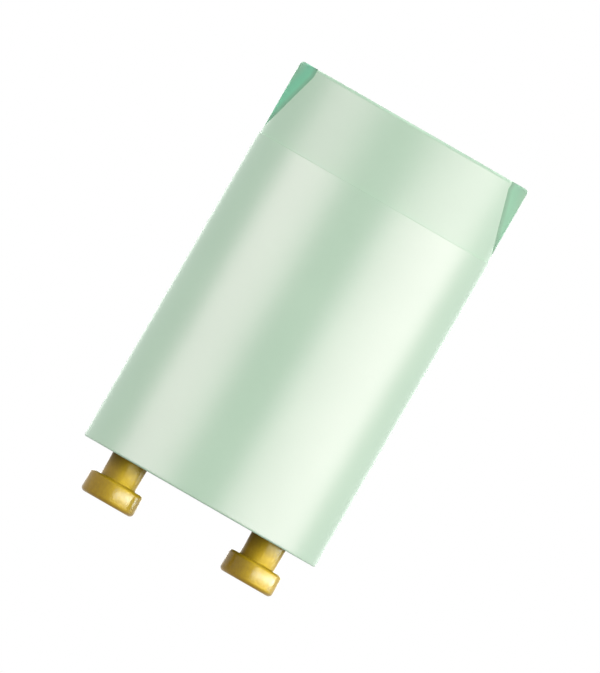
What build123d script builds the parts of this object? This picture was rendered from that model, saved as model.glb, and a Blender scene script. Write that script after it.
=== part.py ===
from build123d import *
import math
import os

# Fluorescent starter, plug-in glow type, in millimetres.
# It stands on its two contact pins: z = 0 is their end faces, X runs through both pins,
# and Z is the can's axis. The lamp is on the -Y side and the capacitor on the +Y side.

# Contact pins
pin_spacing = 12.7
pin_head_diameter = 4.7
pin_head_height = 1.9
pin_head_end_radius = 0.35
pin_head_back_radius = 0.25
pin_neck_diameter = 3.1
pin_neck_length = 2.45
pin_shank_diameter = 2.5
pin_lip_width = 0.55
pin_lip_height = 0.45
pin_lip_radius = 0.35
pin_bore_diameter = 1.7
pin_bore_depth = 3.0
pin_bore_point_depth = 0.3

# Can
can_diameter = 21.1
can_length = 34.4
can_wall = 1.0
can_top_thickness = 1.2
can_top_edge_radius = 0.3
can_rim_radius = 0.15
can_roof_corner_radius = 0.6
can_core_draft_angle = 0.25
grip_band_height = 6.6
grip_band_step = 0.15
grip_flat_height = 6.1
grip_flat_upright = 0.7
grip_flat_inset = 1.5
grip_rib_thickness = 1.6

# Seat of the base plate in the can's mouth
plate_recess = 0.5
plate_clearance = 0.05
shoulder_width = 0.35
snap_bead_height = 0.35
snap_bead_lead_in = 0.4
key_width = 2.0
key_depth = 0.7
key_clearance = 0.1

# Base plate
plate_thickness = 1.8
plate_edge_chamfer = 0.15
boss_diameter = 5.6
boss_height = 0.8
barrier_thickness = 1.0
barrier_length = 14.0
barrier_height = 2.2
barrier_edge_radius = 0.3

# Glow lamp's glass
lamp_can_clearance = 0.9
lamp_axis_clearance = 0.05
lamp_roof_clearance = 2.4
lamp_glass_wall = 0.5
lamp_shoulder_height = 3.2
lamp_pinch_width = 6.4
lamp_pinch_thickness = 2.2
lamp_pinch_height = 4.5
lamp_pinch_corner_radius = 0.8
lamp_inner_cone_start = 0.9
lamp_inner_cone_radius = 0.6
lamp_tip_diameter = 2.2
lamp_tip_end_diameter = 0.8
lamp_tip_height = 1.5
lamp_standoff = 4.2

# Electrodes in the lamp
electrode_pitch = 2.6
lamp_wire_diameter = 0.5
lamp_wire_reach = 4.5
fixed_electrode_diameter = 0.8
fixed_electrode_length = 5.5
strip_thickness = 0.25
strip_width = 2.2
strip_leg_length = 7.0
strip_weld_length = 2.5
strip_weld_bite = 0.1
strip_free_leg_length = 4.5
contact_gap = 0.35

# Capacitor
capacitor_axis_clearance = 1.25
capacitor_back_clearance = 3.5
capacitor_corner_clearance = 2.1
capacitor_height = 13.0
capacitor_side_flat = 0.8
capacitor_edge_radius = 0.7
capacitor_lead_pitch = 7.5
capacitor_wire_diameter = 0.6
capacitor_wire_embedding = 1.5
capacitor_standoff = 4.8

# Leads and solder at the pins' tails
lead_offset_in_pin = 0.4
lead_end_clearance = 0.3
lead_bend_radius = 0.8
lead_exit_run = 0.9
lead_rise_over_pin = 1.1
solder_dome_height = 0.6
solder_dome_diameter = 2.6

# Heights along the axis, from the pins' end faces upwards
plate_bottom = pin_head_height + pin_neck_length
plate_top = plate_bottom + plate_thickness
boss_top = plate_top + boss_height
pin_top = boss_top + pin_lip_height
pin_bore_bottom = pin_top - pin_bore_depth
rim = plate_bottom - plate_recess
can_top = rim + can_length
roof = can_top - can_top_thickness
lamp_bottom = plate_top + lamp_standoff
pinch_top = lamp_bottom + lamp_pinch_height
tube_bottom = pinch_top + lamp_shoulder_height
dome_top = roof - lamp_roof_clearance - lamp_tip_height
lamp_wire_top = pinch_top + lamp_wire_reach
capacitor_bottom = plate_top + capacitor_standoff
lead_corner_height = pin_top + lead_rise_over_pin

# Radii about the axis
can_radius = can_diameter / 2
grip_radius = can_radius - grip_band_step
bore_radius = can_radius - can_wall
roof_radius = bore_radius - (roof - plate_top) * math.tan(math.radians(can_core_draft_angle))
mouth_radius = bore_radius + shoulder_width
plate_radius = mouth_radius - plate_clearance

# Lamp and capacitor, as large as the bore leaves room for beside each other
lamp_diameter = roof_radius - lamp_can_clearance - lamp_axis_clearance
tube_top = dome_top - lamp_diameter / 2
capacitor_thickness = roof_radius - capacitor_axis_clearance - capacitor_back_clearance
capacitor_side_radius = (capacitor_thickness - capacitor_side_flat) / 2
capacitor_corner_x = math.sqrt(
    (roof_radius - capacitor_corner_clearance - capacitor_side_radius) ** 2
    - (capacitor_axis_clearance + capacitor_thickness - capacitor_side_radius) ** 2
)
capacitor_width = 2 * (capacitor_corner_x + capacitor_side_radius)

# Places across the axis
pin_x = pin_spacing / 2
electrode_x = electrode_pitch / 2
lamp_y = -lamp_axis_clearance - lamp_diameter / 2
capacitor_y = capacitor_axis_clearance + capacitor_thickness / 2
grip_lean_height = grip_flat_height - grip_flat_upright
grip_lean_angle = math.degrees(math.atan(grip_flat_inset / grip_lean_height))

SIDES = {"left": -1, "right": 1}
STANDING = (Align.CENTER, Align.CENTER, Align.MIN)


def turned(points, radii):
    """Revolve a closed (radius, height) outline about Z, each corner rounded by its radius."""
    outline = Plane.XZ * FilletPolyline(*points, radius=radii, close=True)
    return revolve(make_face(outline), Axis.Z)


def rod(diameter, bottom, top, x=0.0, y=0.0):
    """Upright round bar between two heights."""
    return Pos(x, y, bottom) * Cylinder(diameter / 2, top - bottom, align=STANDING)


def bent_wire(points, diameter):
    """Round wire that starts straight down and follows rounded corners."""
    route = FilletPolyline(*points, radius=lead_bend_radius)
    start = Plane(origin=points[0], z_dir=(0, 0, -1))
    return sweep(start * Circle(diameter / 2), path=route)


def beyond_grip_flat(side, inset=0.0):
    """Everything outside one finger flat, which leans in and then stands upright, or set in from it."""
    reach = can_diameter + can_length
    outward = Align.MIN if side > 0 else Align.MAX
    block = Box(reach, reach, 2 * reach, align=(outward, Align.CENTER, Align.CENTER))
    foot = Pos(side * grip_radius, 0, can_top - grip_flat_height)
    lean = Rot(0, -side * grip_lean_angle, 0)
    leaning = foot * lean * Pos(-side * inset, 0, 0) * block
    upright = Pos(side * (grip_radius - grip_flat_inset - inset), 0, can_top) * block
    return leaning & upright


def can_outside():
    """The can's outer form: body, grip band and two finger flats, each with a rib in its middle."""
    band_bottom = can_top - grip_band_height
    outline = [
        (0, rim),
        (can_radius, rim),
        (can_radius, band_bottom),
        (grip_radius, band_bottom),
        (grip_radius, can_top),
        (0, can_top),
    ]
    form = turned(outline, [0, can_rim_radius, 0, 0, can_top_edge_radius, 0])
    rib = Pos(0, 0, rim) * Box(can_diameter, grip_rib_thickness, 2 * can_length, align=STANDING)
    for side in SIDES.values():
        form -= beyond_grip_flat(side) - rib
    return form


def can_hollow():
    """The can's inside above the plate's seat: a drafted bore that follows the flats."""
    outline = [
        (0, plate_top),
        (bore_radius, plate_top),
        (roof_radius, roof),
        (0, roof),
    ]
    hollow = turned(outline, [0, 0, can_roof_corner_radius, 0])
    for side in SIDES.values():
        hollow -= beyond_grip_flat(side, inset=can_wall)
    return hollow


def can_mouth():
    """The rebate that takes the base plate, narrowed by a snap bead under the plate."""
    bead_radius = mouth_radius - snap_bead_height
    outline = [
        (0, rim),
        (mouth_radius, rim),
        (mouth_radius, plate_bottom - snap_bead_lead_in),
        (bead_radius, plate_bottom),
        (mouth_radius, plate_bottom),
        (mouth_radius, plate_top),
        (0, plate_top),
    ]
    return turned(outline, 0)


def key_bars(clearance=0.0):
    """The two keys beside the plate, rooted in the can's wall, or the notches that clear them."""
    width = key_width + 2 * clearance
    root = (mouth_radius + can_radius) / 2
    crest = mouth_radius - key_depth - clearance
    bars = Part()
    for side in SIDES.values():
        middle = Pos(0, side * (root + crest) / 2, plate_bottom)
        bars += middle * Box(width, root - crest, plate_thickness, align=STANDING)
    return bars


def can():
    """Moulded can, one wall thick all over."""
    return can_outside() - can_hollow() - can_mouth() + key_bars()


def base_plate():
    """Moulded plate with a boss round each pin and a barrier between them."""
    plate = rod(2 * plate_radius, plate_bottom, plate_top)
    plate = chamfer(plate.edges().filter_by(GeomType.CIRCLE), plate_edge_chamfer)
    barrier = Pos(0, 0, plate_top) * Box(
        barrier_thickness, barrier_length, barrier_height, align=STANDING
    )
    plate += fillet(barrier.edges().filter_by(Axis.Z), barrier_edge_radius)
    for side in SIDES.values():
        plate += rod(boss_diameter, plate_top, boss_top, x=side * pin_x)
    for side in SIDES.values():
        plate -= rod(pin_shank_diameter, plate_bottom, boss_top, x=side * pin_x)
    return plate - key_bars(key_clearance)


def contact_pin(side):
    """Turned brass pin: head, neck, shank through the plate, and a hollow tail riveted over."""
    head = pin_head_diameter / 2
    neck = pin_neck_diameter / 2
    shank = pin_shank_diameter / 2
    bore = pin_bore_diameter / 2
    lip = shank + pin_lip_width
    corners = [
        ((0, 0), 0),
        ((head, 0), pin_head_end_radius),
        ((head, pin_head_height), pin_head_back_radius),
        ((neck, pin_head_height), 0),
        ((neck, plate_bottom), 0),
        ((shank, plate_bottom), 0),
        ((shank, boss_top), 0),
        ((lip, boss_top), 0),
        ((lip, pin_top), pin_lip_radius),
        ((bore, pin_top), 0),
        ((bore, pin_bore_bottom), 0),
        ((0, pin_bore_bottom - pin_bore_point_depth), 0),
    ]
    pin = turned([point for point, radius in corners], [radius for point, radius in corners])
    return Pos(side * pin_x, 0, 0) * pin


def lamp_glass(leads):
    """Glow lamp's bulb: pressed foot, shoulder, tube, dome and sealed tip, round a hollow."""
    foot = RectangleRounded(lamp_pinch_width, lamp_pinch_thickness, lamp_pinch_corner_radius)
    radius = lamp_diameter / 2
    pinch = extrude(Pos(0, 0, lamp_bottom) * foot, lamp_pinch_height)
    shoulder = loft([Pos(0, 0, pinch_top) * foot, Pos(0, 0, tube_bottom) * Circle(radius)])
    tube = rod(lamp_diameter, tube_bottom, tube_top)
    dome = Pos(0, 0, tube_top) * Sphere(radius, arc_size1=0, align=STANDING)
    tip = Pos(0, 0, dome_top) * Cone(
        lamp_tip_diameter / 2, lamp_tip_end_diameter / 2, 2 * lamp_tip_height
    )
    hollow_radius = radius - lamp_glass_wall
    inner_cone = turned(
        [
            (0, pinch_top + lamp_inner_cone_start),
            (lamp_inner_cone_radius, pinch_top + lamp_inner_cone_start),
            (hollow_radius, tube_bottom),
            (hollow_radius, tube_top),
            (0, tube_top),
        ],
        0,
    )
    inner_dome = Pos(0, 0, tube_top) * Sphere(hollow_radius, arc_size1=0, align=STANDING)
    glass = pinch + shoulder + tube + dome + tip - (inner_cone + inner_dome)
    return Pos(0, lamp_y, 0) * glass - leads


def lamp_lead(side):
    """Wire from the electrode, out through the lamp's foot and down into a pin's tail."""
    x = side * electrode_x
    return bent_wire(
        [
            (x, lamp_y, lamp_wire_top),
            (x, lamp_y, lamp_bottom - lead_exit_run),
            (side * pin_x, -lead_offset_in_pin, lead_corner_height),
            (side * pin_x, -lead_offset_in_pin, pin_bore_bottom + lead_end_clearance),
        ],
        lamp_wire_diameter,
    )


def fixed_electrode():
    """Rod butted on the end of the right-hand lead."""
    top = lamp_wire_top + fixed_electrode_length
    return rod(fixed_electrode_diameter, lamp_wire_top, top, x=electrode_x, y=lamp_y)


def bimetal_strip(lead):
    """Strip bent into a U, welded to the left-hand lead, its free leg short of the rod."""
    weld_face = lamp_wire_diameter / 2 - strip_weld_bite - electrode_x
    free_face = electrode_x - fixed_electrode_diameter / 2 - contact_gap
    outer = (free_face - weld_face) / 2
    inner = outer - strip_thickness
    middle = (free_face + weld_face) / 2
    bottom = lamp_wire_top - strip_weld_length
    bend = bottom + strip_leg_length
    tall_leg = Pos(weld_face + strip_thickness / 2, (bottom + bend) / 2) * Rectangle(
        strip_thickness, strip_leg_length
    )
    free_leg = Pos(free_face - strip_thickness / 2, bend - strip_free_leg_length / 2) * Rectangle(
        strip_thickness, strip_free_leg_length
    )
    upper_half = Pos(middle, bend + outer / 2) * Rectangle(2 * outer, outer)
    arch = Pos(middle, bend) * (Circle(outer) - Circle(inner)) & upper_half
    section = Plane.XZ.offset(-lamp_y) * (arch + tall_leg + free_leg)
    return extrude(section, strip_width / 2, both=True) - lead


def capacitor_body(leads):
    """Wound film capacitor in a smooth dipped coat."""
    section = RectangleRounded(capacitor_width, capacitor_thickness, capacitor_side_radius)
    body = extrude(Pos(0, capacitor_y, capacitor_bottom) * section, capacitor_height)
    ends = body.faces().filter_by(Axis.Z).edges()
    return fillet(ends, capacitor_edge_radius) - leads


def capacitor_lead(side):
    """Wire from the capacitor's end down into a pin's tail."""
    x = side * capacitor_lead_pitch / 2
    return bent_wire(
        [
            (x, capacitor_y, capacitor_bottom + capacitor_wire_embedding),
            (x, capacitor_y, capacitor_bottom - lead_exit_run),
            (side * pin_x, lead_offset_in_pin, lead_corner_height),
            (side * pin_x, lead_offset_in_pin, pin_bore_bottom + lead_end_clearance),
        ],
        capacitor_wire_diameter,
    )


def solder_joint(side, leads):
    """Solder that fills the pin's hollow tail round both leads, with a domed top."""
    bore = pin_bore_diameter / 2
    dome_edge = solder_dome_diameter / 2
    dome_top_height = pin_top + solder_dome_height
    sphere_radius = (dome_edge**2 + solder_dome_height**2) / (2 * solder_dome_height)
    fill = turned(
        [
            (0, pin_bore_bottom - pin_bore_point_depth),
            (bore, pin_bore_bottom),
            (bore, pin_top),
            (0, pin_top),
        ],
        0,
    )
    dome = Pos(0, 0, dome_top_height - sphere_radius) * Sphere(sphere_radius)
    dome &= rod(solder_dome_diameter, pin_top, dome_top_height)
    return Pos(side * pin_x, 0, 0) * (fill + dome) - leads


def starter():
    """Every piece of the starter, by name."""
    pieces = {"can": can(), "base_plate": base_plate()}
    for name, side in SIDES.items():
        pieces[f"contact_pin_{name}"] = contact_pin(side)
        pieces[f"lamp_lead_{name}"] = lamp_lead(side)
        pieces[f"capacitor_lead_{name}"] = capacitor_lead(side)
        leads = pieces[f"lamp_lead_{name}"] + pieces[f"capacitor_lead_{name}"]
        pieces[f"solder_joint_{name}"] = solder_joint(side, leads)
    pieces["lamp_glass"] = lamp_glass(pieces["lamp_lead_left"] + pieces["lamp_lead_right"])
    pieces["fixed_electrode"] = fixed_electrode()
    pieces["bimetal_strip"] = bimetal_strip(pieces["lamp_lead_left"])
    capacitor_leads = pieces["capacitor_lead_left"] + pieces["capacitor_lead_right"]
    pieces["capacitor_body"] = capacitor_body(capacitor_leads)
    return pieces


os.makedirs("parts", exist_ok=True)
for name, piece in starter().items():
    export_step(piece, f"parts/{name}.step")
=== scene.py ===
import math

import bmesh
import bpy
from mathutils import Euler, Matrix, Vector


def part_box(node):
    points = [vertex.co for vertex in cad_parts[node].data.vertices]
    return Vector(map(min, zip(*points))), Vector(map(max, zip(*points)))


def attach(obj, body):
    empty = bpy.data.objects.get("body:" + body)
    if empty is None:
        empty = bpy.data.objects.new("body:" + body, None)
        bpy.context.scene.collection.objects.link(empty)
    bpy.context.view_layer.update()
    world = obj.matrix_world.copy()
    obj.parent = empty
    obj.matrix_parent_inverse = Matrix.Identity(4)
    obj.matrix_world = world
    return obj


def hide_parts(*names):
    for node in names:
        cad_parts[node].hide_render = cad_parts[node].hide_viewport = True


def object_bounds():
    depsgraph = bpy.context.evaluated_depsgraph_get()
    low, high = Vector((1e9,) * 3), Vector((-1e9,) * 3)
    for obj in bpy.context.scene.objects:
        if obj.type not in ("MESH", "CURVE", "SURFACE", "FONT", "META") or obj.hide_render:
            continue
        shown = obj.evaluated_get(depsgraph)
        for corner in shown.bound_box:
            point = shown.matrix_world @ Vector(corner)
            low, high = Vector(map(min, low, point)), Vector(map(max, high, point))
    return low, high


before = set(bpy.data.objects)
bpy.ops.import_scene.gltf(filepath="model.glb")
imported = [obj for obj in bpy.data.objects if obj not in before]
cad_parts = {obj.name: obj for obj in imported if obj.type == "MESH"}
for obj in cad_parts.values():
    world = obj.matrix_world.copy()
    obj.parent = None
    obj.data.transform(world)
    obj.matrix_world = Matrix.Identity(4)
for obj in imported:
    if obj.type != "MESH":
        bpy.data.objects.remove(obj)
cad_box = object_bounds()

# Fluorescent starter, modelled in millimetres and shrunk to metres when a piece is finished.
# z = 0 is the contact pins' end faces, X runs through both pins and Z is the can's axis.
MM = 0.001


def cad_size(node):
    """Lowest and highest corner of a CAD node, in millimetres."""
    low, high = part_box(node)
    return low / MM, high / MM


# Sizes read from the frame
can_low, can_high = cad_size("can")
plate_low, plate_high = cad_size("base_plate")
pin_top = cad_size("contact_pin_right")[1].z
glass_bottom = cad_size("lamp_glass")[0].z

# Middle of the starter in metres, at which the lamps and the camera are aimed
starter_middle = (cad_box[0] + cad_box[1]) / 2

# Can
can_radius = can_high.x
rim = can_low.z
can_top = can_high.z
can_wall = 1.0
can_top_thickness = 1.2
bore_radius = can_radius - can_wall
roof = can_top - can_top_thickness
roof_corner = 0.6
top_edge_rounding = 0.3
rim_rounding = 0.15

# Grip band round the can's top, with the finger flats and their ribs
band_height = 6.6
band_bottom = can_top - band_height
band_step = 0.15
band_step_rounding = 0.05
band_radius = can_radius - band_step
flat_height = 6.1
flat_bottom = can_top - flat_height
flat_upright = 0.7
flat_inset = 1.5
flat_lean = math.atan(flat_inset / (flat_height - flat_upright))
flat_edge_rounding = 0.07
rib_thickness = 1.6

# Mark of the moulding gate in the middle of the can's end
dimple_radius = 1.1
dimple_depth = 0.15
dimple_floor = can_top - dimple_depth
dimple_rounding = 0.9 * dimple_depth
stub_radius = 0.4
stub_height = 0.12
stub_rounding = 0.05

# Mouth of the can and base plate
plate_bottom = plate_low.z
plate_radius = plate_high.x
plate_thickness = 1.8
plate_top = plate_bottom + plate_thickness
plate_chamfer = 0.15
plate_play = 0.05
core_draft = math.radians(0.25)
roof_radius = bore_radius - (roof - plate_top) * math.tan(core_draft)
mouth_radius = plate_radius + plate_play
bead_height = 0.35
bead_radius = mouth_radius - bead_height
bead_lead_in = 0.4
key_width = 2.0
key_height = 0.7
key_crest = mouth_radius - key_height
key_root = (mouth_radius + can_radius) / 2
key_clearance = 0.1
boss_radius = 2.8
boss_height = 0.8
boss_top = plate_top + boss_height
barrier_size = Vector((1.0, 14.0, 2.2))
barrier_rounding = 0.3

# Contact pins
pin_x = 6.35
head_radius = 2.35
head_height = 1.9
head_end_rounding = 0.35
head_back_rounding = 0.25
neck_radius = 1.55
neck_foot_rounding = 0.1
shank_radius = 1.25
lip_radius = 1.8
lip_rounding = 0.35
pin_bore_radius = 0.85
pin_bore_depth = 3.0
pin_bore_bottom = pin_top - pin_bore_depth
pin_bore_cone = 0.3
pin_bore_point = pin_bore_bottom - pin_bore_cone

# Glow lamp's pressed foot
foot_height = 4.5
foot_top = glass_bottom + foot_height

# How finely round forms are cut
CAN_FACETS = 240
PIN_FACETS = 128
STUB_FACETS = 32

# How far a cutting form stands out beyond what it cuts, in millimetres
OVERCUT = 1.0

# How near a corner or the direction of a face comes to count as the wanted one
NEAR = 1e-3
NEAR_SQUARE = 1e-4

# Turn from one face to the next above which a flat's edge is softened, and any edge looks sharp
SOFTENED_TURN = math.radians(8)
SHARP_TURN = math.radians(30)

# Colours
CAN_GREEN = (0.345, 0.60, 0.405)
CAN_GREEN_DEEP = (0.33, 0.58, 0.39)
# Deeper green of painted shade on the ribs' cheeks
RIB_GREEN_IN_SHADE = (0.20, 0.64, 0.41)
# Painted shade in the creases where the ribs' cheeks meet the flats
CREASE_PAINTED_SHADE = (0.22, 0.36, 0.25)
PLATE_IVORY = (0.66, 0.64, 0.56)
PLATE_IVORY_DEEP = (0.60, 0.58, 0.50)
BRASS = (0.345, 0.215, 0.007)
BRASS_TARNISH = (0.28, 0.165, 0.005)
# Painted shade on the pins' necks under the can's rim
BRASS_PAINTED_SHADE = (0.075, 0.045, 0.002)
GLASS = (0.93, 0.97, 0.95)
GLASS_SMOKY = (0.78, 0.86, 0.82)
TINNED = (0.62, 0.61, 0.58)
TINNED_DULL = (0.48, 0.47, 0.44)
ELECTRODE = (0.45, 0.44, 0.42)
ELECTRODE_OXIDE = (0.30, 0.28, 0.25)
COAT_BROWN = (0.48, 0.19, 0.06)
COAT_BROWN_DEEP = (0.38, 0.13, 0.04)
SOLDER = (0.70, 0.70, 0.71)
SOLDER_DULL = (0.55, 0.55, 0.56)
PAPER_GREY = (0.35, 0.35, 0.35)
WHITE = (1.0, 1.0, 1.0)

# Painted shade on the ribs' cheeks and in their creases at the flats: reaches in millimetres, and
# shares of the deeper green
cheek_blur = 0.05
cheek_foot_fade = 0.3
crest_border = 0.25
crest_share = 0.15
cheek_full_reach = 0.8
cheek_faded_reach = 1.6
cheek_faded_share = 0.2
right_rib_shade_share = 0.35
crease_shade_full_reach = 0.1
crease_shade_faded_reach = 0.4
crease_shade_share = 0.6

# Painted shade on the pins' necks under the can's rim: how far it reaches down from the rim and
# up into the plate, and how deep
rim_shade_reach = 1.3
rim_shade_into_plate = 0.1
rim_shade_share = 0.8

# Clouds of the moulded skin, per millimetre, and the span that its noise keeps within
CLOUDS_PER_MM = 0.12
NOISE_SPAN = (0.3, 0.7)

# Finishes: smoothest and roughest, and how deep the grain is in millimetres
CAN_ROUGHNESS = 0.40
BAND_ROUGHNESS = 0.48
BAND_BLUR = 0.02
CAN_GLOSS_IOR = 1.75
CAN_GRAIN_DEPTH = 0.004
PLATE_ROUGHNESS = 0.55
PLATE_GRAIN_DEPTH = 0.01
BRASS_ROUGHNESS = (0.58, 0.66)
BRASS_RINGS_PER_MM = 3.0
BRASS_RINGS_WANDER = 0.6
BRASS_RING_DEPTH = 0.002
LACQUER_CLEAN = 0.65
# Lacquer weight where the painted rim shade lies on the necks
LACQUER_IN_RIM_SHADE = 0.1
LACQUER_ROUGHNESS = 0.22
LACQUER_IOR = 1.5
GLASS_ROUGHNESS = 0.02
FOOT_ROUGHNESS = 0.12
FOOT_BLUR = 1.0
GLASS_IOR = 1.5
GLASS_WAVE_DEPTH = 0.05
COAT_ROUGHNESS = (0.18, 0.3)
COAT_PEEL_DEPTH = 0.03

# Light: tints, strengths in which 1 is white, and distances in metres
LAMP_TINT = (1.0, 0.74, 0.85)
PIN_LAMP_TINT = (0.80, 0.95, 1.0)
LAMP_DISTANCE = 0.6
BACK_LAMP_DISTANCE = 0.7
OVERHEAD_STRENGTH = 1.5
OVERHEAD_SPREAD = math.radians(40)
WORLD_FILL = 0.17
FLOOR_SIZE = 6.0
FLOOR_GLOW = 0.81
FLOOR_GAP = 0.02 * MM

# Photograph: its size, its scale, and where and how far turned the starter stands in it
photo_width = 600
photo_height = 673
photo_px_per_mm = 12.6
photo_middle_x = 295.3
photo_middle_y = 334.5
photo_turn = math.radians(29.9)

# Camera, in metres
camera_distance = 1.5
camera_near = 0.01
camera_far = 10.0


def alone(obj):
    """Makes one object the only selected and active one."""
    bpy.ops.object.select_all(action="DESELECT")
    obj.select_set(True)
    bpy.context.view_layer.objects.active = obj


def added(name):
    """Names the primitive just added and puts its place into its mesh."""
    obj = bpy.context.object
    obj.name = name
    obj.data.name = name
    bpy.ops.object.transform_apply(location=True, rotation=True, scale=True)
    return obj


def turned(name, profile, facets, x=0.0):
    """Turned form: a disc at the first radius and height, drawn on from ring to ring."""
    radius, height = profile[0]
    bpy.ops.mesh.primitive_circle_add(
        vertices=facets, radius=radius, fill_type="NGON", location=(x, 0, height)
    )
    obj = added(name)
    bpy.ops.object.mode_set(mode="EDIT")
    bpy.ops.mesh.select_mode(type="FACE")
    for next_radius, next_height in profile[1:]:
        bpy.ops.mesh.extrude_region_move(
            TRANSFORM_OT_translate={"value": (0, 0, next_height - height)}
        )
        if next_radius > 0:
            stretch = next_radius / radius
            bpy.ops.transform.resize(
                value=(stretch, stretch, 1), center_override=(x, 0, next_height)
            )
        else:
            bpy.ops.mesh.merge(type="CENTER")
        radius, height = next_radius, next_height
    bpy.ops.mesh.select_all(action="SELECT")
    bpy.ops.mesh.normals_make_consistent(inside=False)
    bpy.ops.object.mode_set(mode="OBJECT")
    return obj


def block(name, low, high):
    """Box between two corners."""
    low, high = Vector(low), Vector(high)
    bpy.ops.mesh.primitive_cube_add(size=1, location=(low + high) / 2, scale=high - low)
    return added(name)


def pick_edges(obj, wanted):
    """Opens a piece for editing with only the edges that pass a test selected."""
    alone(obj)
    bpy.ops.object.mode_set(mode="EDIT")
    bpy.ops.mesh.select_mode(type="EDGE")
    bpy.ops.mesh.select_all(action="DESELECT")
    mesh = bmesh.from_edit_mesh(obj.data)
    for edge in mesh.edges:
        if wanted(edge):
            edge.select_set(True)
    bmesh.update_edit_mesh(obj.data)


def soften(obj, wanted, rounding, steps):
    """Rounds the edges that pass a test."""
    pick_edges(obj, wanted)
    bpy.ops.mesh.bevel(offset=rounding, segments=steps, affect="EDGES", clamp_overlap=True)
    bpy.ops.object.mode_set(mode="OBJECT")


def soften_ring(obj, radius, height, rounding, steps, x=0.0):
    """Rounds the circular edge at one radius and height."""

    def on_ring(corner):
        reach = math.hypot(corner.co.x - x, corner.co.y)
        return abs(reach - radius) < NEAR and abs(corner.co.z - height) < NEAR

    soften(obj, lambda edge: all(on_ring(corner) for corner in edge.verts), rounding, steps)


def joined(obj, operation, *others):
    """Cuts other forms out of a piece or unites them with it; the others are used up."""
    for other in others:
        step = obj.modifiers.new("join", "BOOLEAN")
        step.operation = operation
        step.solver = "EXACT"
        step.object = other
        alone(obj)
        bpy.ops.object.modifier_apply(modifier=step.name)
        bpy.data.objects.remove(other)
    return obj


def finished(obj, material, node):
    """Shrinks a piece to metres, shades it, and lets it stand for its CAD node."""
    alone(obj)
    obj.scale = (MM, MM, MM)
    bpy.ops.object.transform_apply(location=True, rotation=True, scale=True)
    bpy.ops.object.shade_smooth_by_angle(angle=SHARP_TURN)
    even = obj.modifiers.new("even_shading", "WEIGHTED_NORMAL")
    even.keep_sharp = True
    bpy.ops.object.modifier_apply(modifier=even.name)
    obj.data.materials.clear()
    obj.data.materials.append(material)
    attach(obj, "root")
    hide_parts(node)


def beyond_flat(side, inset, near, far):
    """Block outside one finger flat, leaning below and upright above, from near to far across."""
    reach = 2 * can_radius
    size = Vector((reach, far - near, 2 * reach))
    outwards = Vector((side * (reach / 2 - inset), (near + far) / 2, 0))
    lean = Euler((0, -side * flat_lean, 0))
    foot = Vector((side * band_radius, 0, flat_bottom))
    bpy.ops.mesh.primitive_cube_add(
        size=1, location=foot + lean.to_matrix() @ outwards, rotation=lean, scale=size
    )
    leaning = added("beyond_flat")
    top_corner = Vector((side * (band_radius - flat_inset), 0, can_top)) + outwards
    upright = block("upright", top_corner - size / 2, top_corner + size / 2)
    return joined(leaning, "INTERSECT", upright)


def on_flat_or_rib(face):
    """True for the flats, leaning or upright, and the cheeks of their ribs."""
    middle = face.calc_center_median()
    if middle.z < flat_bottom:
        return False
    across = abs(middle.y)
    leaning = abs(abs(face.normal.x) - math.cos(flat_lean)) < NEAR
    leaning = leaning and abs(face.normal.z - math.sin(flat_lean)) < NEAR
    upright = abs(abs(face.normal.x) - 1) < NEAR_SQUARE and across > rib_thickness / 2
    cheek = abs(abs(face.normal.y) - 1) < NEAR_SQUARE and abs(across - rib_thickness / 2) < NEAR
    return leaning or upright or cheek


def flat_border(edge):
    """True for an edge where a flat or a rib's cheek meets another face at an angle."""
    if len(edge.link_faces) != 2:
        return False
    if not any(on_flat_or_rib(face) for face in edge.link_faces):
        return False
    return edge.calc_face_angle() > SOFTENED_TURN


def rises(edge):
    """True for an edge that runs upwards."""
    return abs(edge.verts[0].co.z - edge.verts[1].co.z) > NEAR


def can_outside():
    """Outer form of the can: body, step, grip band and the finger flats with their ribs."""
    form = turned(
        "moulded_can",
        [
            (can_radius, rim),
            (can_radius, band_bottom),
            (band_radius, band_bottom),
            (band_radius, can_top),
        ],
        CAN_FACETS,
    )
    soften_ring(form, can_radius, rim, rim_rounding, steps=4)
    soften_ring(form, can_radius, band_bottom, band_step_rounding, steps=2)
    soften_ring(form, band_radius, can_top, top_edge_rounding, steps=5)
    reach = 2 * can_radius
    cheek = rib_thickness / 2
    for side in (-1, 1):
        in_front = beyond_flat(side, 0, -reach, -cheek)
        behind = beyond_flat(side, 0, cheek, reach)
        joined(form, "DIFFERENCE", in_front, behind)
    soften(form, flat_border, flat_edge_rounding, steps=2)
    return form


def can_inside():
    """Hollow of the can: mouth, snap bead, shoulder, drafted bore and leaning walls."""
    form = turned(
        "hollow",
        [
            (mouth_radius, rim - OVERCUT),
            (mouth_radius, plate_bottom - bead_lead_in),
            (bead_radius, plate_bottom),
            (mouth_radius, plate_bottom),
            (mouth_radius, plate_top),
            (bore_radius, plate_top),
            (roof_radius, roof),
        ],
        CAN_FACETS,
    )
    soften_ring(form, roof_radius, roof, roof_corner, steps=4)
    reach = 2 * can_radius
    for side in (-1, 1):
        joined(form, "DIFFERENCE", beyond_flat(side, can_wall, -reach, reach))
    return form


def key_bars(clearance=0.0):
    """The two keys beside the plate, or the notches that clear them."""
    half = key_width / 2 + clearance
    crest = key_crest - clearance
    front = block("key", (-half, -key_root, plate_bottom), (half, -crest, plate_top))
    back = block("key", (-half, crest, plate_bottom), (half, key_root, plate_top))
    return front, back


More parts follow.
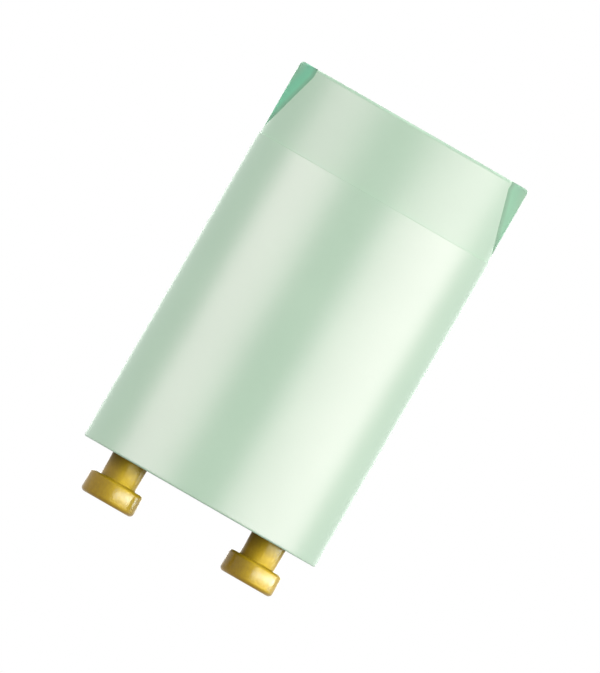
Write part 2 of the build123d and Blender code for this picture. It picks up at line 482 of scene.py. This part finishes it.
def moulded_can(material):
    """The can, one wall thick, with the moulding gate's mark in the middle of its end."""
    can = can_outside()
    joined(can, "DIFFERENCE", can_inside())
    joined(can, "UNION", *key_bars())
    dimple = turned(
        "dimple",
        [(dimple_radius, dimple_floor), (dimple_radius, can_top + OVERCUT)],
        PIN_FACETS,
    )
    soften_ring(dimple, dimple_radius, dimple_floor, dimple_rounding, steps=4)
    joined(can, "DIFFERENCE", dimple)
    stub_foot = dimple_floor - dimple_depth
    stub_end = dimple_floor + stub_height
    stub = turned("stub", [(stub_radius, stub_foot), (stub_radius, stub_end)], STUB_FACETS)
    soften_ring(stub, stub_radius, stub_end, stub_rounding, steps=3)
    joined(can, "UNION", stub)
    finished(can, material, "can")


def moulded_base(material):
    """Base plate with its bosses, barrier, pin holes and key notches."""
    base = turned(
        "moulded_base", [(plate_radius, plate_bottom), (plate_radius, plate_top)], CAN_FACETS
    )
    soften_ring(base, plate_radius, plate_bottom, plate_chamfer, steps=3)
    soften_ring(base, plate_radius, plate_top, plate_chamfer, steps=3)
    sunk = plate_top - plate_thickness / 2
    half = barrier_size / 2
    barrier = block(
        "barrier", (-half.x, -half.y, sunk), (half.x, half.y, plate_top + barrier_size.z)
    )
    soften(barrier, rises, barrier_rounding, steps=4)
    joined(base, "UNION", barrier)
    for side in (-1, 1):
        x = side * pin_x
        boss = turned("boss", [(boss_radius, sunk), (boss_radius, boss_top)], PIN_FACETS, x=x)
        joined(base, "UNION", boss)
        hole = turned(
            "hole",
            [(shank_radius, plate_bottom - OVERCUT), (shank_radius, boss_top + OVERCUT)],
            PIN_FACETS,
            x=x,
        )
        joined(base, "DIFFERENCE", hole)
    joined(base, "DIFFERENCE", *key_bars(key_clearance))
    finished(base, material, "base_plate")


def turned_pin(name, side, material):
    """Turned brass pin: head, neck, shank, and a hollow tail riveted over the boss."""
    x = side * pin_x
    pin = turned(
        f"turned_pin_{name}",
        [
            (head_radius, 0.0),
            (head_radius, head_height),
            (neck_radius, head_height),
            (neck_radius, plate_bottom),
            (shank_radius, plate_bottom),
            (shank_radius, boss_top),
            (lip_radius, boss_top),
            (lip_radius, pin_top),
            (pin_bore_radius, pin_top),
            (pin_bore_radius, pin_bore_bottom),
            (0.0, pin_bore_point),
        ],
        PIN_FACETS,
        x=x,
    )
    soften_ring(pin, head_radius, 0.0, head_end_rounding, steps=6, x=x)
    soften_ring(pin, head_radius, head_height, head_back_rounding, steps=5, x=x)
    soften_ring(pin, neck_radius, head_height, neck_foot_rounding, steps=3, x=x)
    soften_ring(pin, lip_radius, pin_top, lip_rounding, steps=5, x=x)
    finished(pin, material, f"contact_pin_{name}")


def dressed(material, *nodes):
    """Puts a material on CAD pieces that are shown as they are."""
    for node in nodes:
        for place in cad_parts[node].material_slots:
            place.material = material


def add_node(tree, kind, **settings):
    """Shader node with its settings."""
    made = tree.nodes.new(kind)
    for name, value in settings.items():
        setattr(made, name, value)
    return made


def emptied(owner):
    """Node tree of a material or a world, with nothing in it yet."""
    owner.use_nodes = True
    owner.node_tree.nodes.clear()
    return owner.node_tree


def maths(tree, operation, *values):
    """Result of a maths node on sockets and numbers."""
    step = add_node(tree, "ShaderNodeMath", operation=operation)
    for socket, value in zip(step.inputs, values):
        if isinstance(value, bpy.types.NodeSocket):
            tree.links.new(value, socket)
        else:
            socket.default_value = value
    return step.outputs["Value"]


def product(tree, mask, *others):
    """Masks multiplied with each other."""
    for other in others:
        mask = maths(tree, "MULTIPLY", mask, other)
    return mask


def ranged(tree, value, span, new_span):
    """Value rescaled from one span to another, and held at its ends."""
    scale = add_node(tree, "ShaderNodeMapRange")
    scale.inputs["From Min"].default_value, scale.inputs["From Max"].default_value = span
    scale.inputs["To Min"].default_value, scale.inputs["To Max"].default_value = new_span
    tree.links.new(value, scale.inputs["Value"])
    return scale.outputs["Result"]


def blended(tree, mask, first, second):
    """Colour that goes from the first to the second as the mask goes from 0 to 1."""
    mix = add_node(tree, "ShaderNodeMix", data_type="RGBA")
    factor, one, two = mix.inputs[0], mix.inputs[6], mix.inputs[7]
    tree.links.new(mask, factor)
    for socket, colour in ((one, first), (two, second)):
        if isinstance(colour, bpy.types.NodeSocket):
            tree.links.new(colour, socket)
        else:
            socket.default_value = (*colour, 1.0)
    return mix.outputs[2]


def bumped(tree, shader, height, depth):
    """Bump on a shader from a height between 0 and 1, its full depth in millimetres."""
    bump = add_node(tree, "ShaderNodeBump")
    bump.inputs["Strength"].default_value = 1.0
    bump.inputs["Distance"].default_value = depth * MM
    tree.links.new(height, bump.inputs["Height"])
    tree.links.new(bump.outputs["Normal"], shader.inputs["Normal"])


def millimetres(tree):
    """Place on the object, in millimetres."""
    place = add_node(tree, "ShaderNodeTexCoord")
    scale = add_node(tree, "ShaderNodeMapping")
    scale.inputs["Scale"].default_value = (1 / MM, 1 / MM, 1 / MM)
    tree.links.new(place.outputs["Object"], scale.inputs["Vector"])
    return scale.outputs["Vector"]


def along_axes(tree):
    """X, Y and Z on the object in millimetres, each by its letter."""
    axes = add_node(tree, "ShaderNodeSeparateXYZ")
    tree.links.new(millimetres(tree), axes.inputs["Vector"])
    return axes.outputs


def moulded_skin_group():
    """Node group: the fine grain and slow clouds of a moulded plastic surface."""
    group = bpy.data.node_groups.new("moulded_skin", "ShaderNodeTree")
    face = group.interface
    face.new_socket("Place", in_out="INPUT", socket_type="NodeSocketVector")
    grain_size = face.new_socket("Grain per mm", in_out="INPUT", socket_type="NodeSocketFloat")
    grain_size.default_value = 8.0
    face.new_socket("Grain", in_out="OUTPUT", socket_type="NodeSocketFloat")
    face.new_socket("Clouds", in_out="OUTPUT", socket_type="NodeSocketFloat")
    inside = add_node(group, "NodeGroupInput")
    outside = add_node(group, "NodeGroupOutput")
    grain = add_node(group, "ShaderNodeTexNoise")
    grain.inputs["Detail"].default_value = 3.0
    group.links.new(inside.outputs["Place"], grain.inputs["Vector"])
    group.links.new(inside.outputs["Grain per mm"], grain.inputs["Scale"])
    clouds = add_node(group, "ShaderNodeTexNoise")
    clouds.inputs["Scale"].default_value = CLOUDS_PER_MM
    clouds.inputs["Detail"].default_value = 2.0
    group.links.new(inside.outputs["Place"], clouds.inputs["Vector"])
    group.links.new(grain.outputs["Fac"], outside.inputs["Grain"])
    group.links.new(clouds.outputs["Fac"], outside.inputs["Clouds"])
    return group


def skinned(name, grain_per_mm):
    """Material with a Principled shader and the grain and clouds of the moulded skin."""
    material = bpy.data.materials.new(name)
    tree = emptied(material)
    shader = add_node(tree, "ShaderNodeBsdfPrincipled")
    output = add_node(tree, "ShaderNodeOutputMaterial")
    tree.links.new(shader.outputs["BSDF"], output.inputs["Surface"])
    skin = add_node(tree, "ShaderNodeGroup", node_tree=moulded_skin)
    skin.inputs["Grain per mm"].default_value = grain_per_mm
    tree.links.new(millimetres(tree), skin.inputs["Place"])
    return material, tree, shader, skin.outputs


def clouded(tree, skin, pale, deep):
    """Colour that drifts from pale to deep and back with the clouds of the skin."""
    return blended(tree, ranged(tree, skin["Clouds"], NOISE_SPAN, (0.0, 1.0)), pale, deep)


def grained(tree, shader, skin, roughness_span):
    """Roughness of a shader that follows the grain of the skin."""
    roughness = ranged(tree, skin["Grain"], NOISE_SPAN, roughness_span)
    tree.links.new(roughness, shader.inputs["Roughness"])


def painted_rib_shade_masks(tree, axes):
    """Masks of painted shade: deeper green on the ribs' cheeks, less on the right rib, and a dark
    crease at the flats."""
    aside = maths(tree, "ABSOLUTE", axes["X"])
    rise = maths(tree, "SUBTRACT", axes["Z"], flat_bottom)
    leant = maths(tree, "MULTIPLY", rise, math.tan(flat_lean))
    set_in = maths(tree, "MINIMUM", leant, flat_inset)
    off_flat = maths(tree, "ADD", maths(tree, "SUBTRACT", aside, band_radius), set_in)
    outside_flat = ranged(tree, off_flat, (0.0, cheek_blur), (0.0, 1.0))
    above_foot = ranged(tree, rise, (0.0, cheek_foot_fade), (0.0, 1.0))
    across = maths(tree, "ABSOLUTE", axes["Y"])
    cheek = rib_thickness / 2
    on_rib = ranged(tree, across, (cheek, cheek + cheek_blur), (1.0, 0.0))
    off_crest = ranged(
        tree, across, (cheek - crest_border, cheek - cheek_blur), (crest_share, 1.0)
    )
    on_cheek = product(tree, on_rib, off_crest, outside_flat, above_foot)
    near_flat = ranged(
        tree, off_flat, (cheek_full_reach, cheek_faded_reach), (1.0, cheek_faded_share)
    )
    # Painted shade by side: full on the left rib, less on the right one, which the lamps reach
    shade_by_side = ranged(tree, axes["X"], (-can_radius, can_radius), (1.0, right_rib_shade_share))
    # Painted dark crease where the cheek meets the flat
    in_crease_shade = ranged(tree, off_flat, (crease_shade_full_reach, crease_shade_faded_reach), (crease_shade_share, 0.0))
    return product(tree, on_cheek, near_flat, shade_by_side), product(tree, on_cheek, in_crease_shade)


def can_plastic():
    """Pale green moulded plastic: satin body, duller grip band, painted shade on the ribs' cheeks
    and creases.
    """
    material, tree, shader, skin = skinned("can_plastic", grain_per_mm=9.0)
    axes = along_axes(tree)
    body = clouded(tree, skin, CAN_GREEN, CAN_GREEN_DEEP)
    # Painted shade on the cheeks and in their creases
    cheek_shade_mask, crease_shade_mask = painted_rib_shade_masks(tree, axes)
    colour = blended(tree, crease_shade_mask, blended(tree, cheek_shade_mask, body, RIB_GREEN_IN_SHADE), CREASE_PAINTED_SHADE)
    tree.links.new(colour, shader.inputs["Base Color"])
    at_step = (band_bottom - BAND_BLUR, band_bottom + BAND_BLUR)
    roughness = ranged(tree, axes["Z"], at_step, (CAN_ROUGHNESS, BAND_ROUGHNESS))
    tree.links.new(roughness, shader.inputs["Roughness"])
    shader.inputs["IOR"].default_value = CAN_GLOSS_IOR
    bumped(tree, shader, skin["Grain"], CAN_GRAIN_DEPTH)
    return material


def plate_plastic():
    """Ivory matte moulding of the base plate."""
    material, tree, shader, skin = skinned("plate_plastic", grain_per_mm=6.0)
    body = clouded(tree, skin, PLATE_IVORY, PLATE_IVORY_DEEP)
    tree.links.new(body, shader.inputs["Base Color"])
    shader.inputs["Roughness"].default_value = PLATE_ROUGHNESS
    bumped(tree, shader, skin["Grain"], PLATE_GRAIN_DEPTH)
    return material


def turned_brass():
    """Lacquered turned brass: tool rings, a faint uneven tarnish, and painted shade that deepens
    up the neck under the rim."""
    material, tree, shader, skin = skinned("turned_brass", grain_per_mm=3.0)
    axes = along_axes(tree)
    # Painted shade: the neck darkens towards the rim, where the can above shades it, and its
    # lacquer gloss fades with it
    up_neck = ranged(tree, axes["Z"], (rim - rim_shade_reach, rim), (0.0, rim_shade_share))
    into_plate = (plate_bottom, plate_bottom + rim_shade_into_plate)
    below_plate = ranged(tree, axes["Z"], into_plate, (1.0, 0.0))
    painted_rim_shade = product(tree, up_neck, below_plate)
    body = blended(tree, skin["Grain"], BRASS, BRASS_TARNISH)
    tree.links.new(blended(tree, painted_rim_shade, body, BRASS_PAINTED_SHADE), shader.inputs["Base Color"])
    shader.inputs["Metallic"].default_value = 1.0
    grained(tree, shader, skin, BRASS_ROUGHNESS)
    lacquer = ranged(tree, painted_rim_shade, (0.0, 1.0), (LACQUER_CLEAN, LACQUER_IN_RIM_SHADE))
    tree.links.new(lacquer, shader.inputs["Coat Weight"])
    shader.inputs["Coat Roughness"].default_value = LACQUER_ROUGHNESS
    shader.inputs["Coat IOR"].default_value = LACQUER_IOR
    rings = add_node(tree, "ShaderNodeTexWave", wave_type="BANDS", bands_direction="Z")
    rings.inputs["Scale"].default_value = BRASS_RINGS_PER_MM
    rings.inputs["Distortion"].default_value = BRASS_RINGS_WANDER
    tree.links.new(millimetres(tree), rings.inputs["Vector"])
    bumped(tree, shader, rings.outputs["Fac"], BRASS_RING_DEPTH)
    return material


def bare_metal(name, clean, dull, grain_per_mm, roughness_span, depth):
    """Uncoated metal with a grain that dulls, roughens and dents it."""
    material, tree, shader, skin = skinned(name, grain_per_mm)
    tree.links.new(blended(tree, skin["Grain"], clean, dull), shader.inputs["Base Color"])
    shader.inputs["Metallic"].default_value = 1.0
    grained(tree, shader, skin, roughness_span)
    bumped(tree, shader, skin["Grain"], depth)
    return material


def blown_glass():
    """Clear glass, wavy from blowing and smoky in its pressed foot."""
    material, tree, shader, skin = skinned("blown_glass", grain_per_mm=0.5)
    height = along_axes(tree)["Z"]
    in_foot = ranged(tree, height, (foot_top - FOOT_BLUR, foot_top + FOOT_BLUR), (1.0, 0.0))
    tree.links.new(blended(tree, in_foot, GLASS, GLASS_SMOKY), shader.inputs["Base Color"])
    roughness = ranged(tree, in_foot, (0.0, 1.0), (GLASS_ROUGHNESS, FOOT_ROUGHNESS))
    tree.links.new(roughness, shader.inputs["Roughness"])
    shader.inputs["Transmission Weight"].default_value = 1.0
    shader.inputs["IOR"].default_value = GLASS_IOR
    bumped(tree, shader, skin["Grain"], GLASS_WAVE_DEPTH)
    return material


def dipped_coat():
    """Brown resin coat of the capacitor: glossy, with a shallow orange peel."""
    material, tree, shader, skin = skinned("dipped_coat", grain_per_mm=1.6)
    body = clouded(tree, skin, COAT_BROWN, COAT_BROWN_DEEP)
    tree.links.new(body, shader.inputs["Base Color"])
    grained(tree, shader, skin, COAT_ROUGHNESS)
    bumped(tree, shader, skin["Grain"], COAT_PEEL_DEPTH)
    return material


def softbox(
    name, azimuth, width, height, strength, elevation=0, tint=LAMP_TINT, distance=LAMP_DISTANCE
):
    """Rectangular lamp aimed at the starter's middle; strength is its brightness, 1 is white."""
    lamp = bpy.data.lights.new(name, "AREA")
    lamp.shape = "RECTANGLE"
    lamp.size = width
    lamp.size_y = height
    lamp.energy = strength * math.pi * width * height
    lamp.color = tint
    holder = bpy.data.objects.new(name, lamp)
    bpy.context.scene.collection.objects.link(holder)
    turn, rise = math.radians(azimuth), math.radians(elevation)
    away = Vector(
        (math.sin(turn) * math.cos(rise), -math.cos(turn) * math.cos(rise), math.sin(rise))
    )
    holder.location = starter_middle + distance * away
    holder.rotation_euler = away.to_track_quat("Z", "Y").to_euler()
    holder.visible_camera = False
    return holder


def light_links(lamp, state, *names):
    """Lets a lamp light only the named pieces (INCLUDE), or all but them (EXCLUDE)."""
    pieces = bpy.data.collections.new("links_of_" + lamp.name)
    for name in names:
        pieces.objects.link(bpy.data.objects[name])
    lamp.light_linking.receiver_collection = pieces
    for link in pieces.collection_objects:
        link.light_linking.link_state = state
    return pieces


def overhead_light():
    """Broad soft light from straight above, which lights the whole floor evenly."""
    lamp = bpy.data.lights.new("overhead_light", "SUN")
    lamp.energy = OVERHEAD_STRENGTH
    lamp.angle = OVERHEAD_SPREAD
    holder = bpy.data.objects.new("overhead_light", lamp)
    bpy.context.scene.collection.objects.link(holder)


def photo_camera():
    """Level camera in front, turned about its own axis as the photograph is. Like the
    photograph it has no perspective, so the floor is seen edge-on."""
    camera = bpy.data.objects.new("camera", bpy.data.cameras.new("camera"))
    bpy.context.scene.collection.objects.link(camera)
    bpy.context.scene.camera = camera
    right = Vector((math.cos(photo_turn), 0, math.sin(photo_turn)))
    up = Vector((-math.sin(photo_turn), 0, math.cos(photo_turn)))
    aside = (photo_width / 2 - photo_middle_x) / photo_px_per_mm * MM
    above = (photo_middle_y - photo_height / 2) / photo_px_per_mm * MM
    target = starter_middle + aside * right + above * up
    camera.location = target - Vector((0, camera_distance, 0))
    camera.rotation_euler = (math.pi / 2, -photo_turn, 0)
    camera.data.type = "ORTHO"
    camera.data.ortho_scale = photo_height / photo_px_per_mm * MM
    camera.data.clip_start = camera_near
    camera.data.clip_end = camera_far


def background_ray(tree):
    """1 for a ray from the camera, from gloss or through glass, and 0 for lighting."""
    ray = add_node(tree, "ShaderNodeLightPath").outputs
    seen = maths(tree, "MAXIMUM", ray["Is Camera Ray"], ray["Is Glossy Ray"])
    return maths(tree, "MAXIMUM", seen, ray["Is Transmission Ray"])


def background(tree, strength):
    """White background of one strength."""
    shader = add_node(tree, "ShaderNodeBackground")
    shader.inputs["Color"].default_value = (*WHITE, 1)
    shader.inputs["Strength"].default_value = strength
    return shader.outputs["Background"]


def mixed(tree, mask, first, second):
    """Shader that goes from the first to the second as the mask goes from 0 to 1."""
    mix = add_node(tree, "ShaderNodeMixShader")
    tree.links.new(mask, mix.inputs["Fac"])
    tree.links.new(first, mix.inputs[1])
    tree.links.new(second, mix.inputs[2])
    return mix.outputs["Shader"]


def pale_world():
    """White background that lights the starter only a little."""
    world = bpy.data.worlds.new("studio")
    bpy.context.scene.world = world
    tree = emptied(world)
    output = add_node(tree, "ShaderNodeOutputWorld")
    fill = background(tree, WORLD_FILL)
    white = background(tree, 1.0)
    seen = mixed(tree, background_ray(tree), fill, white)
    tree.links.new(seen, output.inputs["Surface"])


def pale_floor():
    """White floor that still takes the starter's shadow: lit paper and a glow that lights
    nothing. It lies just clear of the pins' end faces, and a camera below sees through it."""
    bpy.ops.mesh.primitive_plane_add(size=FLOOR_SIZE, location=(0, 0, -FLOOR_GAP))
    floor = added("floor")
    material = bpy.data.materials.new("floor_white")
    tree = emptied(material)
    output = add_node(tree, "ShaderNodeOutputMaterial")
    paper = add_node(tree, "ShaderNodeBsdfDiffuse")
    paper.inputs["Color"].default_value = (*PAPER_GREY, 1)
    glow = add_node(tree, "ShaderNodeEmission")
    glow_strength = maths(tree, "MULTIPLY", background_ray(tree), FLOOR_GLOW)
    tree.links.new(glow_strength, glow.inputs["Strength"])
    both = add_node(tree, "ShaderNodeAddShader")
    tree.links.new(paper.outputs["BSDF"], both.inputs[0])
    tree.links.new(glow.outputs["Emission"], both.inputs[1])
    side = add_node(tree, "ShaderNodeNewGeometry")
    ray = add_node(tree, "ShaderNodeLightPath")
    from_below = product(tree, side.outputs["Backfacing"], ray.outputs["Is Camera Ray"])
    clear = add_node(tree, "ShaderNodeBsdfTransparent")
    one_sided = mixed(tree, from_below, both.outputs["Shader"], clear.outputs["BSDF"])
    tree.links.new(one_sided, output.inputs["Surface"])
    floor.data.materials.append(material)


bpy.ops.object.select_all(action="DESELECT")
bpy.context.scene.view_settings.view_transform = "Standard"

# Pieces that are modelled here
moulded_skin = moulded_skin_group()
moulded_can(can_plastic())
moulded_base(plate_plastic())
brass = turned_brass()
turned_pin("left", -1, brass)
turned_pin("right", 1, brass)

# CAD pieces inside the can
dressed(blown_glass(), "lamp_glass")
tinned_wire = bare_metal(
    "tinned_wire", TINNED, TINNED_DULL, grain_per_mm=6.0, roughness_span=(0.28, 0.4), depth=0.004
)
dressed(tinned_wire, "lamp_lead_left", "lamp_lead_right")
dressed(tinned_wire, "capacitor_lead_left", "capacitor_lead_right")
electrode_metal = bare_metal(
    "electrode_metal",
    ELECTRODE,
    ELECTRODE_OXIDE,
    grain_per_mm=4.0,
    roughness_span=(0.35, 0.5),
    depth=0.006,
)
dressed(electrode_metal, "bimetal_strip", "fixed_electrode")
dressed(dipped_coat(), "capacitor_body")
solder = bare_metal(
    "solder", SOLDER, SOLDER_DULL, grain_per_mm=2.0, roughness_span=(0.2, 0.36), depth=0.02
)
dressed(solder, "solder_joint_left", "solder_joint_right")

# Studio: the side softboxes shape the can, and the pins have two lamps of their own
pale_world()
pale_floor()
pins = ("turned_pin_left", "turned_pin_right")
left_softbox = softbox("left_softbox", azimuth=-60, width=0.66, height=0.24, strength=11.7)
light_links(left_softbox, "EXCLUDE", *pins, "floor")
right_softbox = softbox("right_softbox", azimuth=61, width=1.12, height=0.24, strength=13.5)
light_links(right_softbox, "EXCLUDE", *pins, "floor")
pin_softbox = softbox(
    "pin_softbox", azimuth=62, width=1.7, height=0.06, strength=38.0, tint=PIN_LAMP_TINT
)
light_links(pin_softbox, "INCLUDE", *pins)
pin_top_softbox = softbox(
    "pin_top_softbox",
    azimuth=30,
    elevation=55,
    width=0.6,
    height=0.3,
    strength=16.0,
    tint=PIN_LAMP_TINT,
)
lit_pins = light_links(pin_top_softbox, "INCLUDE", *pins)

# Only the pins themselves shade the high lamp, so the can above them leaves their heads lit
pin_top_softbox.light_linking.blocker_collection = lit_pins
back_softbox = softbox(
    "back_softbox",
    azimuth=180,
    elevation=10,
    width=0.5,
    height=0.5,
    strength=4.0,
    tint=WHITE,
    distance=BACK_LAMP_DISTANCE,
)
light_links(back_softbox, "EXCLUDE", "floor")
overhead_light()
photo_camera()
